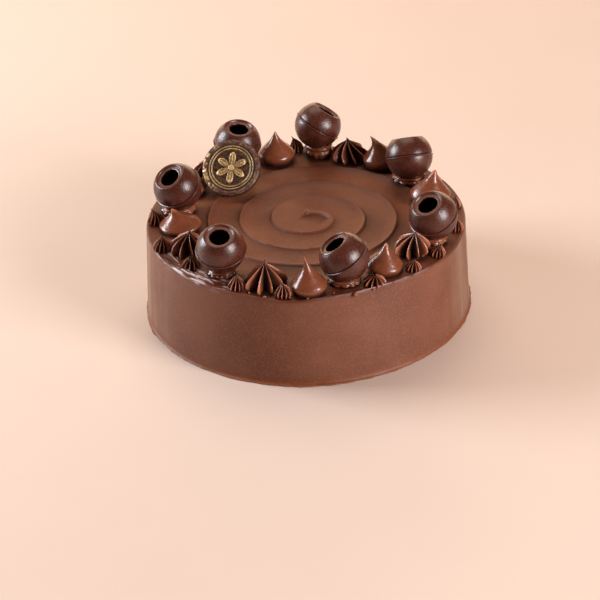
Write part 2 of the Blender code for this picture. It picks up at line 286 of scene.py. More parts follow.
# Painted shade inside the shell and in the seam's groove.
SHELL_PAINTED_SHADE = (0.008, 0.003, 0.002)
PIPED = ((0.092, 0.022, 0.008), (0.132, 0.036, 0.014))
# Lighter ganache on ridges, tips, lumps and crumbs, partly a painted highlight.
PIPED_EDGE_AND_HIGHLIGHT = (0.380, 0.130, 0.066)
# Painted shade in the grooves, in the truffles' seats and round the drops' feet.
PIPED_GROOVE_SHADE = (0.010, 0.004, 0.003)
SEAL_FACE = ((0.014, 0.005, 0.002), (0.085, 0.038, 0.018))
SEAL_BORDER = ((0.036, 0.013, 0.009), (0.125, 0.055, 0.038))
SEAL_GOLD = (0.860, 0.600, 0.260)
# Painted shade in the groove round the face and along the face's edge.
SEAL_PAINTED_SHADE = (0.006, 0.002, 0.002)
FLOOR_PALE = ((0.56, 0.45, 0.38), (0.58, 0.47, 0.40))

NOISE_CELLS = 24               # lumps after which the noise repeats
NOISE_SHIFT = 500.0            # keeps the numbers of its cells above zero


def noise(points, size, seed):
    """Smooth value noise from -1 to 1 at points in millimetres, in lumps about size wide."""
    table = np.random.default_rng(seed).uniform(-1.0, 1.0, (NOISE_CELLS,) * 3)
    cell = np.asarray(points) / size + NOISE_SHIFT
    low = np.floor(cell).astype(int)
    part = cell - low
    part = part * part * (3.0 - 2.0 * part)
    total = np.zeros(len(cell))
    for corner in product((0, 1), repeat=3):
        weight = np.prod(np.where(corner, part, 1.0 - part), axis=1)
        near = (low + corner) % NOISE_CELLS
        total += weight * table[near[:, 0], near[:, 1], near[:, 2]]
    return total


def peak(value, centre, width):
    """Smooth bump of height 1 where value is centre."""
    return np.exp(-((value - centre) / width) ** 2)


def bell(angle, centre, width):
    """Smooth bump of height 1 round one angle, in degrees."""
    return peak((angle - centre + 180) % 360 - 180, 0.0, width)


def bells(angle, bumps):
    """Sum of bumps, each given by its angle, height and half width."""
    return sum(amount * bell(angle, centre, width) for centre, amount, width in bumps)


def ramp(value, low, high):
    """0 below low, 1 above high and smooth between."""
    share = np.clip((value - low) / (high - low), 0.0, 1.0)
    return share * share * (3.0 - 2.0 * share)


def between(start, end, step):
    """Values from start up to end, evenly spaced by about step, end left out."""
    return np.linspace(start, end, max(1, round(abs(end - start) / step)), endpoint=False)


def ring_sizes(points, rings):
    """Number of points of each ring, of which the first and the last are poles."""
    return [1] + [points] * (rings - 2) + [1]


def ring_faces(sizes):
    """Faces between neighbouring rings; a ring of one point is a pole."""
    starts = np.concatenate(([0], np.cumsum(sizes)))
    faces = []
    for upper, lower, first, second in zip(sizes, sizes[1:], starts, starts[1:]):
        here = np.arange(max(upper, lower))
        there = here + 1
        corners = np.stack([
            first + here * upper // len(here),
            second + here * lower // len(here),
            second + (there * lower // len(here)) % lower,
            first + (there * upper // len(here)) % upper,
        ], axis=1)
        faces += [tuple(dict.fromkeys(corner)) for corner in corners.tolist()]
    return faces


def round_points(sizes, radii, heights):
    """Angle, radius and height of every point of level rings that share one axis."""
    angles = np.concatenate([np.arange(size) * tau / size for size in sizes])
    return angles, np.repeat(radii, sizes), np.repeat(heights, sizes)


def upright(around, radius, height):
    """Points at an angle, a distance and a height from the vertical axis."""
    return np.stack([radius * np.cos(around), radius * np.sin(around), height], axis=1)


def tipped(points, tilt, direction):
    """Points with their upright axis tipped by tilt towards a direction, both in degrees."""
    turn = Matrix.Rotation(radians(direction), 3, "Z") @ Matrix.Rotation(radians(tilt), 3, "Y")
    return points @ np.array(turn).T


def piece(name, points, faces, kind, node, masks):
    """Object made of points in millimetres that stands for one node of the frame."""
    mesh = bpy.data.meshes.new(name)
    mesh.from_pydata((np.asarray(points) * MM).tolist(), [], faces)
    for mask, values in masks.items():
        layer = mesh.attributes.new(mask, "FLOAT", "POINT")
        layer.data.foreach_set("value", np.clip(values, 0.0, 1.0).astype(np.float32))
    mesh.shade_smooth()
    mesh.materials.append(MATERIALS[kind])
    made = bpy.data.objects.new(name, mesh)
    bpy.context.scene.collection.objects.link(made)
    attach(made, "root")
    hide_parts(node)


# Materials


def colour(value):
    """A colour with its alpha added; anything else as it is."""
    return (*value, 1.0) if isinstance(value, tuple) and len(value) == 3 else value


class Shader:
    """Short way to write a material's nodes."""

    def __init__(self, name):
        self.material = bpy.data.materials.new(name)
        self.material.use_nodes = True
        self.tree = self.material.node_tree
        self.surface = self.tree.nodes["Principled BSDF"]

    def node(self, kind, inputs=None, **settings):
        made = self.tree.nodes.new("ShaderNode" + kind)
        for setting, value in settings.items():
            setattr(made, setting, value)
        for socket, value in (inputs or {}).items():
            self.put(made.inputs[socket], value)
        return made

    def put(self, socket, value):
        if isinstance(value, bpy.types.NodeSocket):
            self.tree.links.new(value, socket)
        else:
            socket.default_value = value

    def millimetres(self, stretch=(1.0, 1.0, 1.0)):
        """The piece's own coordinates, in millimetres, each divided by its stretch."""
        scale = tuple(1.0 / (MM * size) for size in stretch)
        place = self.node("TexCoord").outputs["Object"]
        return self.node("Mapping", {"Vector": place, "Scale": scale}).outputs["Vector"]

    def grain(self, size, detail=2.0, roughness=0.5, stretch=(1.0, 1.0, 1.0)):
        """Soft noise in lumps about size wide."""
        inputs = {"Vector": self.millimetres(stretch), "Scale": 1.0 / size, "Detail": detail}
        inputs["Roughness"] = roughness
        return self.node("TexNoise", inputs).outputs["Fac"]

    def speckle(self, size, share):
        """Small round spots, 1 in their middles, on about a share of the cells."""
        cells = self.node("TexVoronoi", {"Vector": self.millimetres(), "Scale": 1.0 / size})
        spot = self.spread(cells.outputs["Distance"], 0.42, 0.10)
        parts = self.node("SeparateColor", {"Color": cells.outputs["Color"]})
        chosen = self.maths("GREATER_THAN", parts.outputs["Red"], 1.0 - share)
        return self.times(spot, chosen)

    def mask(self, name):
        """One of the masks that the mesh carries."""
        return self.node("Attribute", attribute_name=name).outputs["Fac"]

    def maths(self, operation, first, second):
        return self.node("Math", {0: first, 1: second}, operation=operation).outputs["Value"]

    def times(self, first, second):
        return self.maths("MULTIPLY", first, second)

    def spread(self, value, low, high, start=0.0, end=1.0):
        """Value from low to high, set between start and end."""
        inputs = {"Value": value, "From Min": low, "From Max": high, "To Min": start, "To Max": end}
        return self.node("MapRange", inputs).outputs["Result"]

    def mix(self, share, first, second):
        """Colour from first to second as share goes from 0 to 1."""
        made = self.node("Mix", data_type="RGBA")
        self.put(made.inputs["Factor"], share)
        self.put(made.inputs["A"], colour(first))
        self.put(made.inputs["B"], colour(second))
        return made.outputs["Result"]

    def bump(self, height, depth, under=None):
        """Bumps as deep as depth, in millimetres, on top of those under them."""
        inputs = {"Height": height, "Distance": depth * MM, "Strength": 1.0}
        if under is not None:
            inputs["Normal"] = under
        return self.node("Bump", inputs).outputs["Normal"]

    def finish(self, **sockets):
        """The material, once its surface has these values; _ stands for a blank in their names."""
        for socket, value in sockets.items():
            self.put(self.surface.inputs[socket.replace("_", " ")], value)
        return self.material


def frosting():
    """Satin ganache spread with a spatula: tan where thin, redder where thick, partly as painted highlight
    and shade, and finely grained.
    """
    shader = Shader("frosting")
    clouds = shader.spread(shader.grain(38.0, 3.0), 0.35, 0.65)
    top = shader.mix(clouds, *GANACHE_TOP)
    wall = shader.mix(clouds, *GANACHE_WALL)
    # The wall's greyer colours are partly a painted cool sheen.
    base = shader.mix(shader.mask("wall"), top, wall)
    grains = shader.spread(shader.grain(1.1, 3.0, 0.6), 0.48, 0.72)
    base = shader.mix(shader.times(grains, 0.50), base, GANACHE_GRAIN)
    # Painted shade beside the spiral's crests and in the scoop's hollow.
    base = shader.mix(shader.mask("trough_shade"), base, GANACHE_TROUGH_SHADE)
    # Painted highlight along the crests and the scoop's edge.
    base = shader.mix(shader.times(shader.mask("crest"), 0.6), base, GANACHE_CREST_HIGHLIGHT)
    base = shader.mix(shader.mask("band"), base, GANACHE_BAND)
    base = shader.mix(shader.mask("shade"), base, GANACHE_SHADE)
    base = shader.mix(shader.mask("foot"), base, GANACHE_FOOT)
    # Painted whitish sheen on the wet stretch and along the lip.
    base = shader.mix(shader.mask("wet"), base, GANACHE_WET_SHEEN)
    # Painted sheen: the wall turns paler where it is seen at a grazing angle, in vertical runs.
    grazing = shader.spread(shader.node("LayerWeight", {"Blend": 0.5}).outputs["Facing"], 0.5, 0.92)
    runs = shader.spread(shader.grain(7.0, 4.0, stretch=(1.0, 1.0, 30.0)), 0.35, 0.65, 0.1, 1.0)
    sheen = shader.times(shader.times(grazing, runs), shader.mask("wall"))
    base = shader.mix(shader.times(sheen, 0.55), base, GANACHE_SHEEN)
    satin = shader.spread(shader.grain(9.0, 4.0), 0.3, 0.7, 0.48, 0.58)
    rough = shader.maths("SUBTRACT", satin, shader.times(shader.mask("gloss"), 0.16))
    fine = shader.bump(shader.grain(0.9, 3.0), 0.09)
    strokes = shader.bump(shader.grain(1.1, 2.0, stretch=(14.0, 14.0, 1.0)), 0.035, fine)
    return shader.finish(Base_Color=base, Roughness=rough, Normal=strokes, Specular_IOR_Level=0.29)


def truffle():
    """Thin moulded shell of dark chocolate, satin with a fine speckle, painted shade inside it and in its
    seam's groove, and a painted highlight along the seam.
    """
    shader = Shader("truffle")
    clouds = shader.spread(shader.grain(5.0, 4.0), 0.3, 0.7)
    base = shader.mix(clouds, *SHELL)
    base = shader.mix(shader.mask("edge"), base, SHELL_RING_AND_HIGHLIGHT)
    flecks = shader.speckle(0.8, 0.40)
    base = shader.mix(shader.times(flecks, 0.40), base, SHELL_FLECK)
    base = shader.mix(shader.mask("dark"), base, SHELL_PAINTED_SHADE)
    rough = shader.spread(shader.grain(1.3, 3.0), 0.3, 0.7, 0.22, 0.36)
    fine = shader.bump(shader.grain(0.7, 3.0), 0.10)
    normal = shader.bump(shader.grain(3.0, 2.0), 0.10, fine)
    return shader.finish(Base_Color=base, Roughness=rough, Normal=normal, Specular_IOR_Level=0.40)


def piping():
    """Glossy piped ganache, orange-brown along thin ridges, partly a painted highlight, with painted shade
    down in the grooves.
    """
    shader = Shader("piping")
    clouds = shader.spread(shader.grain(6.0, 3.0), 0.3, 0.7)
    base = shader.mix(clouds, *PIPED)
    # Lighter on ridges, tips and lumps, partly a painted highlight.
    base = shader.mix(shader.mask("edge"), base, PIPED_EDGE_AND_HIGHLIGHT)
    # Painted shade in the grooves, the seats and round the feet.
    base = shader.mix(shader.mask("groove_shade"), base, PIPED_GROOVE_SHADE)
    gloss = shader.spread(shader.grain(2.0, 2.0), 0.3, 0.7, 0.21, 0.31)
    rough = shader.maths("ADD", gloss, shader.times(shader.mask("groove_shade"), 0.6))
    fine = shader.bump(shader.grain(0.7, 2.0), 0.03)
    normal = shader.bump(shader.grain(2.6, 2.0), 0.14, fine)
    return shader.finish(Base_Color=base, Roughness=rough, Normal=normal, Specular_IOR_Level=0.5)


def seal():
    """Dark grainy moulded chocolate, its relief and part of its border brushed with gold, with painted
    shade in the groove round its face.
    """
    shader = Shader("seal")
    clouds = shader.spread(shader.grain(1.2, 4.0, 0.6), 0.38, 0.66)
    base = shader.mix(clouds, *SEAL_FACE)
    base = shader.mix(shader.mask("border"), base, shader.mix(clouds, *SEAL_BORDER))
    dust = shader.spread(shader.grain(0.6, 3.0), 0.32, 0.54)
    gilt = shader.times(shader.mask("gold"), dust)
    base = shader.mix(gilt, base, SEAL_GOLD)
    # Painted shade in the groove round the face and along its edge.
    base = shader.mix(shader.mask("dark"), base, SEAL_PAINTED_SHADE)
    metal = shader.times(gilt, 0.6)
    rough = shader.spread(shader.grain(0.8, 2.0), 0.3, 0.7, 0.30, 0.50)
    fine = shader.bump(shader.grain(0.8, 3.0), 0.22)
    return shader.finish(Base_Color=base, Roughness=rough, Metallic=metal, Normal=fine,
                         Specular_IOR_Level=0.25)


def pale_floor():
    """Plain pale ground, faintly cloudy."""
    shader = Shader("pale_floor")
    base = shader.mix(shader.grain(60.0, 2.0), *FLOOR_PALE)
    return shader.finish(Base_Color=base, Roughness=0.6)


# The cake's body


def swirl(x, y):
    """Height of the spatula's spiral and two masks: a painted highlight along its crest, and painted shade
    beside it.
    """
    east, north = x - SWIRL_CENTRE[0], y - SWIRL_CENTRE[1]
    radius = np.hypot(east, north)
    turn = (np.arctan2(north, east) / tau) % 1.0
    wound = (radius + SWIRL_INSET) / SWIRL_PITCH + turn
    across = wound - np.floor(wound)
    crest = 360 * (np.floor(wound) - turn)
    begun = ramp(crest, SWIRL_START, SWIRL_START + SWIRL_HOOK)
    fade = begun * np.clip((SWIRL_END - crest) / SWIRL_FADE, 0.0, 1.0)
    step = ramp(across, 0.0, SWIRL_EDGE)
    falling = 1.0 - (1.0 - SWIRL_STEP) * (1.0 - 2.0 * across) ** 2
    rising = 1.0 - np.clip(2.0 * across - 1.0, 0.0, 1.0) ** 2.4
    depth = SWIRL_DEPTH * fade * np.clip(radius / SWIRL_EYE, 0.0, 1.0)
    # Painted highlight along the crest, stronger at the front.
    ridge = fade * ramp(across, 0.93, 1.0)
    back = north / np.maximum(radius, 1e-6)
    # Painted shade just outside the crest, mostly at the front, and just inside it at the back.
    outside = step * np.exp(-across / PAINTED_SHADE_OUTSIDE) * (0.70 - 0.45 * back)
    inside = np.exp((across - 1.0) / PAINTED_SHADE_INSIDE) * np.clip(1.2 * back + 0.2, 0.0, 1.0)
    height = -depth * np.where(across < 0.5, falling * step, rising)
    return height, ridge * (0.6 - 0.4 * back), fade * (outside + inside)


def scoop_in_eye(x, y):
    """Height of the scoop in the spiral's eye, a mask of its edge that carries a painted highlight, and
    painted shade in its hollow; its edge starts in a little hook.
    """
    start, end = (np.array(place) for place in SCOOP_ENDS)
    length = np.linalg.norm(end - start)
    east, north = (end - start) / length
    along = ((x - start[0]) * east + (y - start[1]) * north) / length
    beyond = (x - start[0]) * north - (y - start[1]) * east
    beyond += SCOOP_BULGE * np.sin(pi * np.clip(along, 0.0, 1.0))
    window = ramp(along, -0.06, 0.10) * (1.0 - ramp(along, 0.72, 1.0))
    slope = window * ramp(beyond, 0.0, SCOOP_SLOPE)
    hollow = slope * np.clip(1.0 - beyond / SCOOP_WIDTH, 0.0, 1.0)
    # Painted shade in the scoop's hollow.
    hollow_shade = slope * (1.0 - ramp(beyond, 0.5 * SCOOP_WIDTH, SCOOP_WIDTH))
    edge = window * peak(beyond, -0.3, 0.55)
    hook = peak(along * length, 0.0, HOOK_LENGTH) * peak(beyond, -0.2, HOOK_WIDTH)
    height = HOOK_HEIGHT * hook + SCOOP_LIP * edge - SCOOP_DEPTH * hollow
    return height, np.maximum(edge, hook), hollow_shade


def cake_rings():
    """Number of points, radius and height of each ring from the top's middle to the underside's."""
    rings = [(1, 0.0, CAKE_HEIGHT)]
    inner = 0.7
    for count, reach, step in TOP_RINGS:
        rings += [(count, radius, CAKE_HEIGHT) for radius in between(inner, reach, step)]
        inner = reach
    for angle in range(0, 91, 10):
        out = RIM_RADIUS - RIM_ROUNDING * (1 - sin(radians(angle)))
        rings.append((CAKE_POINTS, out, CAKE_HEIGHT - RIM_ROUNDING * (1 - cos(radians(angle)))))
    wall_top, wall_foot = CAKE_HEIGHT - RIM_ROUNDING - 0.4, FOOT_HEIGHT + 1.4
    for height in between(wall_top, wall_foot, WALL_STEP):
        share = (wall_top - height) / (wall_top - wall_foot)
        rings.append((CAKE_POINTS, RIM_RADIUS + share * (WALL_BASE_RADIUS - RIM_RADIUS), height))
    flare = FOOT_RADIUS - WALL_BASE_RADIUS
    for angle in range(0, 91, 15):
        out = FOOT_RADIUS - flare * sin(radians(90 - angle)) ** 0.8
        rings.append((CAKE_POINTS, out, wall_foot - (wall_foot - 0.6) * sin(radians(angle)) ** 0.8))
    rings += [(CAKE_POINTS, FOOT_RADIUS, 0.3), (CAKE_POINTS, FOOT_RADIUS - 0.25, 0.0), (1, 0.0, 0.0)]
    return rings


def near_pieces(x, y):
    """Mask of the cake's top close under what stands on it, where little light comes."""
    standing = [(*TRUFFLES[spot][:2], radius) for spot, radius in DOLLOPS.items()]
    for group in (DROPS, LARGE_STARS, SMALL_STARS):
        standing += [numbers[:3] for numbers in group.values()]
    most = np.zeros(len(x))
    for east, north, radius in standing:
        beyond = np.hypot(x - east, y - north) - radius
        most = np.maximum(most, 1.0 - ramp(beyond, -0.6, 2.2))
    return 0.85 * most


def build_cake():
    """The whole coat of ganache: spiral top, rim with its lip, side and smeared foot."""
    sizes, radii, heights = (list(column) for column in zip(*cake_rings()))
    around, radius, height = round_points(sizes, radii, heights)
    angle = np.degrees(around)
    level = upright(around, radius, height)
    x, y = level[:, 0], level[:, 1]

    # Where each zone is.
    band = ramp(radius, RIM_BAND - 1.0, RIM_BAND + 2.0) * ramp(height, CAKE_HEIGHT - 2.0, CAKE_HEIGHT)
    wet = band * ramp(bell(angle, *WET_BAND), 0.25, 0.75)
    near_rim = np.clip((radius - RIM_BAND) / (RIM_RADIUS - RIM_BAND), 0.0, 1.0)
    high = np.clip(2.0 * height / CAKE_HEIGHT - 1.0, 0.0, 1.0)
    wall = ramp(radius, RIM_RADIUS - 0.5, RIM_RADIUS) * ramp(height, 1.0, 4.0)
    foot = ramp(radius, WALL_BASE_RADIUS + 0.1, FOOT_RADIUS) * (height < FOOT_HEIGHT + 1.0)
    top = (height > CAKE_HEIGHT - 0.01) & (radius < RIM_RADIUS)
    inner = top * (1.0 - near_rim)
    lip = peak(radius, RIM_RADIUS - LIP_INSET, LIP_WIDTH) * (height > CAKE_HEIGHT - RIM_ROUNDING)
    proud = lip * bells(angle, RIM_LIPS)

    # How far each point moves outward and up.
    unrolled = np.stack([around * RIM_RADIUS / 5.0, radius, height], axis=1)
    streaks = noise(unrolled, 1.5, 13) + 0.9 * noise(unrolled, 0.7, 14)
    ragged = noise(level, 5.0, 3) + 0.6 * noise(level, 2.0, 4)
    out = foot * (bells(angle, FOOT_SWELLS) + FOOT_RAGGEDNESS * ragged - 0.55)
    out -= high * near_rim * bells(angle, RIM_PULLS)
    out += wall * (0.22 * noise(level, 26.0, 5) + 0.08 * noise(level * (0.25, 0.25, 1.0), 2.2, 6))
    spiral, crest, trough_shade = swirl(x, y)
    eye, eye_edge_highlight, eye_shade = scoop_in_eye(x, y)
    up = proud * (0.75 + 0.5 * noise(level, 6.0, 7) + 0.3 * noise(level, 1.6, 8))
    up -= high * near_rim * bells(angle, RIM_SAGS)
    up += STREAK_HEIGHT * wet * streaks
    up += inner * (spiral + eye)
    up += top * 0.06 * noise(level, 7.0, 11)

    scale = np.where(radius > 0, (radius + out) / np.maximum(radius, 1e-6), 1.0)
    points = np.stack([x * scale, y * scale, height + up], axis=1)
    # The crest and trough masks carry a painted highlight and painted shade, the shade mask a painted
    # shadow under the pieces, and the wet mask a painted sheen.
    masks = {
        "band": band * (0.75 + 0.35 * noise(level, 4.0, 12)),
        "wet": np.maximum(wet * ramp(streaks, 0.10, 0.55), 0.3 * proud * ramp(streaks, -0.4, 0.4)),
        "gloss": np.maximum(wet, 0.6 * band),
        "crest": inner * np.maximum(crest, 1.2 * eye_edge_highlight),
        "trough_shade": inner * np.maximum(trough_shade, 0.75 * eye_shade),
        "shade": top * near_pieces(x, y),
        "wall": wall,
        "foot": foot * ramp(ragged, -0.9, 0.3),
    }
    piece("ganache_cake", points, ring_faces(sizes), "frosting", "cake", masks)


def build_crumbs():
    """Rough little lumps, all in one mesh, half sunk in the ganache."""
    angles, sizes = zip(*CRUMB_RINGS)
    turns = np.radians(angles)
    lump = upright(*round_points(sizes, np.sin(turns), np.cos(turns)))
    lump_faces = ring_faces(sizes)
    chance = np.random.default_rng(15)
    points, faces = [], []
    for x, y, size in CRUMBS:
        stretch = size * chance.uniform(0.6, 1.2, 3) * (1.0, 1.0, 0.8)
        dents = chance.uniform(0.75, 1.2, (len(lump), 1))
        first = len(lump) * len(points)
        faces += [tuple(corner + first for corner in face) for face in lump_faces]
        points.append(lump * stretch * dents + (x, y, CAKE_HEIGHT + CRUMB_RISE))
    points = np.concatenate(points)
    piece("crumbs", points, faces, "piping", "cake", {"edge": np.full(len(points), 0.4)})


# Truffles and what they sit in


def truffle_rings():
    """Radius and height of the rings from the inside's lowest point to the outside's."""
    rings = [(0.0, -TRUFFLE_INSIDE)]
    for angle in between(8.0, degrees(acos(-LID_HEIGHT / TRUFFLE_INSIDE)), 8.0):
        rings.append((TRUFFLE_INSIDE * sin(radians(angle)), -TRUFFLE_INSIDE * cos(radians(angle))))
    corner = sqrt(TRUFFLE_INSIDE ** 2 - LID_HEIGHT ** 2)
    lid = (corner, 0.5 * (corner + HOLE_RADIUS), HOLE_RADIUS + 0.15)
    rings += [(radius, LID_HEIGHT) for radius in lid]
    rings.append((HOLE_RADIUS, LID_HEIGHT + 0.3))
    rings += [(HOLE_RADIUS + out, DISH_HEIGHT + up) for out, up in HOLE_PROFILE]
    rings += [(FLAT_RADIUS + out, FLAT_HEIGHT + up) for out, up in SHOULDER_PROFILE]
    first = degrees(acos(FLAT_SHARE)) + 1.5
    zones = ((first, SEAM_ZONE[0], 2.2), (*SEAM_ZONE, 0.6), (SEAM_ZONE[1], 180.0, 2.6))
    for start, end, step in zones:
        for angle in between(start, end, step):
            proud = sum(height * peak(angle, centre, width) for centre, height, width in SEAM_RELIEF)
            reach = TRUFFLE_RADIUS + proud
            rings.append((reach * sin(radians(angle)), reach * cos(radians(angle))))
    rings.append((0.0, -TRUFFLE_RADIUS))
    return rings


def build_truffle(spot, x, y, height, tilt, direction, seed):
    """Hollow ball with a chipped hole, a dished flat round it and a moulding seam."""
    radii, heights = (np.array(column) for column in zip(*truffle_rings()))
    sizes = ring_sizes(TRUFFLE_POINTS, len(radii))
    around, radius, high = round_points(sizes, radii, heights)
    local = upright(around, radius, high)
    distance = np.linalg.norm(local, axis=1)
    outside = ramp(distance, TRUFFLE_RADIUS - 1.2, TRUFFLE_RADIUS - 0.3)
    at_hole = peak(radius, HOLE_RADIUS, 0.8) * (high > 0)
    chips = noise(local, 1.4, seed) + 0.5 * noise(local, 4.0, seed + 1)
    local[:, :2] *= 1.0 + (0.06 * at_hole * np.minimum(chips, 0.5))[:, None]
    local *= 1.0 + (outside * 0.010 * noise(local, 9.0, seed + 2))[:, None]

    down = np.degrees(np.arccos(np.clip(high / np.maximum(distance, 1e-6), -1, 1)))
    flat = ramp(high, DISH_HEIGHT - 0.2, DISH_HEIGHT) * (radius < FLAT_RADIUS - 0.9) * (high > 0)
    inside = 1.0 - ramp(distance, TRUFFLE_RADIUS - 1.5, TRUFFLE_RADIUS - 1.0)
    # Edge: the flat ring's lighter colour and a painted highlight along the seam; dark: painted shade
    # inside the shell and in the seam's groove.
    masks = {
        "edge": np.maximum(flat, 0.7 * peak(down, *SEAM_PAINTED_HIGHLIGHT) * outside),
        "dark": np.maximum(inside * (high < DISH_HEIGHT - 0.3), 0.9 * peak(down, *SEAM_PAINTED_SHADE) * outside),
    }
    points = tipped(local, tilt, direction) + (x, y, CAKE_HEIGHT + height)
    piece("fine_truffle_" + spot, points, ring_faces(sizes), "truffle", "truffle_" + spot, masks)


def build_dollop(spot, x, y, height, radius, seed):
    """Squeezed blob with folded rings, and a hollow in its top that holds the truffle."""
    seat = TRUFFLE_RADIUS - 0.05
    lowest = height - seat
    collar = max(lowest, SINK) + DOLLOP_COLLAR
    inside = min(sqrt(seat ** 2 - (height - collar) ** 2), 0.86 * radius)
    collar = height - sqrt(seat ** 2 - inside ** 2)
    hollow = [(0.0, lowest)]
    for share in between(0.1, 1.0, 0.1):
        hollow.append((inside * share, height - sqrt(seat ** 2 - (inside * share) ** 2)))
    outer = []
    for share in between(0.0, 1.0, 0.04):
        bulge = radius * (0.80 + 0.20 * sin(radians(20 + 160 * share)) ** 0.7)
        fold = DOLLOP_FOLD_DEPTH * sin(DOLLOP_FOLDS * tau * share) * min(1.0, 4.0 * share)
        outer.append((bulge + fold, collar + (-SINK - collar) * share))
    outer.append((0.0, -SINK))

    radii, heights = (np.array(column) for column in zip(*hollow, *outer))
    sizes = ring_sizes(PIPED_POINTS, len(radii))
    around, wide, high = round_points(sizes, radii, heights)
    local = upright(around, wide, high)
    free = np.repeat([0.0] * len(hollow) + [1.0] * len(outer), sizes)
    lumps = 0.7 * noise(local * (1.0, 1.0, 1.6), 4.0, seed) + 0.3 * noise(local, 1.8, seed + 1)
    lobes = np.abs(np.sin(0.5 * DOLLOP_LOBES * around + seed + 0.8 * lumps)) - 0.9
    lower = ramp(-high / collar, -0.75, -0.2)
    local[:, :2] *= 1.0 + (free * (0.055 * (lumps - 0.6) + 0.11 * lobes * lower))[:, None]
    # Lumps lighter, partly as a painted highlight; painted shade in the seat under the truffle.
    masks = {"edge": free * np.clip(0.10 + 0.5 * lumps, 0.0, 0.8), "groove_shade": 0.6 * (1.0 - free)}
    points = local + (x, y, CAKE_HEIGHT)
    piece("fine_dollop_" + spot, points, ring_faces(sizes), "piping", "dollop_" + spot, masks)


# Piped drops and stars


def shares_downward(height, step, power=1.0):
    """Shares of a piped form's height from its tip down to its sunken underside."""
    shares = 1.0 - between(0.0, 1.0, step) ** power
    return np.concatenate((shares, [0.0, -SINK / height, -SINK / height]))


def leaning(points, height, lean_x, lean_y=0.0):
    """Bend a piped form's tip sideways, more towards the top."""
    bend = np.clip(points[:, 2] / height - 0.3, 0.0, None) / 0.7
    points[:, 0] += lean_x * bend ** 2
    points[:, 1] += lean_y * bend ** 2


def outline(shares, points):
    """Radius at shares of the height, along a smoothed line through a few points."""
    known, radii = zip(*points[::-1])
    spread = np.linspace(-0.05, 0.05, 11)
    near_tip = np.clip(6.0 * (1.0 - shares), 0.0, 1.0)
    return np.interp(shares[:, None] + near_tip[:, None] * spread, known, radii).mean(axis=1)


def build_drop(spot, x, y, radius, height, lean, fullness, seed):
    """Smooth piped drop with a swollen foot and shoulder that ends in a fine tip."""
    shares = shares_downward(height, DROP_STEP, 0.9)
    wide = radius * outline(shares, DROP_OUTLINE) ** (1.0 / fullness)
    wide[0] = wide[-1] = 0.0
    sizes = ring_sizes(PIPED_POINTS, len(shares))
    around, reach, high = round_points(sizes, wide, shares * height)
    local = upright(around, reach, high)
    share = high / height
    swelling, direction = DROP_LOBES[spot]
    facing = np.clip(np.cos(around - radians(direction)), 0.0, 1.0) ** 2
    lobe = swelling * peak(share, *LOBE_PLACE) * facing
    wobble = 0.025 * noise(local, 7.0, seed) + 0.010 * noise(local, 2.5, seed + 1)
    local[:, :2] *= 1.0 + (wobble + lobe)[:, None]
    leaning(local, height, lean)
    # Lighter towards the tip; painted shade round the foot.
    masks = {
        "edge": 0.8 * ramp(share, 0.82, 1.0) + 0.10 * (share > 0.05),
        "groove_shade": 0.5 * (1.0 - ramp(share, 0.0, 0.07)),
    }
    points = local + (x, y, CAKE_HEIGHT + GAP)
    piece("fine_drop_" + spot, points, ring_faces(sizes), "piping", "drop_" + spot, masks)


def star_radius(share, power, belly, tuck):
    """Radius of a star's fins at a share of its height, as a share of its widest."""
    below = tuck + (1 - tuck) * np.sin(0.5 * pi * np.clip(share / belly, 0.0, 1.0))
    rise = np.clip((share - belly) / (1 - belly), 0.0, 1.0)
    return np.where(share < belly, below, (1 - rise ** 2) ** power)


def build_star(name, x, y, radius, height, lean_x, lean_y, style, fins, depth, seed):
    """Ridged rosette: thin fins with swollen lower ends and deep grooves, gathered in a tip."""
    power, twist, lift, belly, tuck = style
    shares = shares_downward(height, STAR_STEP)
    wide = radius * np.maximum(star_radius(shares / 0.9, power, belly, tuck), 0.6 * (1.0 - shares))
    wide[0] = wide[-1] = 0.0
    sizes = ring_sizes(fins * POINTS_PER_FIN, len(shares))
    around, reach, high = round_points(sizes, wide, shares * height)
    share = np.clip(high / height, 0.0, 1.0)

    # Each fin is a little out of place, thicker or thinner, and longer or shorter.
    chance = np.random.default_rng(seed)
    phase = fins * (around / tau - 0.25)
    fin = np.round(phase).astype(int) % fins
    off = phase - np.round(phase)
    off += chance.uniform(-0.06, 0.06, fins)[fin] * (1.0 - 4.0 * off ** 2)
    thick = 0.14 + 0.10 * (1.0 - ramp(share, 0.05, 0.40)) + chance.uniform(-0.02, 0.02, fins)[fin]
    ridge = np.exp(-np.abs(off / thick) ** 2.4)
    proud = chance.uniform(0.94, 1.10, fins)[fin]
    carve = depth * (0.35 + 0.65 * (1.0 - ramp(share, 0.55, 0.98)))
    reach = reach * (proud * ridge + (1.0 - ridge) * (1.0 - carve))
    around = around + radians(twist) * share
    high = high + lift * ridge * np.clip(np.sin(around), 0.0, 1.0) * (high > 0) * (1.0 - share)
    local = upright(around, reach, high)
    leaning(local, height, lean_x, lean_y)
    # Painted highlight along the fins' ridges and painted shade in the grooves between them.
    masks = {"edge": ramp(ridge, 0.72, 1.0), "groove_shade": 1.0 - ramp(ridge, 0.10, 0.70)}
    points = local + (x, y, CAKE_HEIGHT + GAP)
    piece("fine_" + name, points, ring_faces(sizes), "piping", name, masks)


# The seal


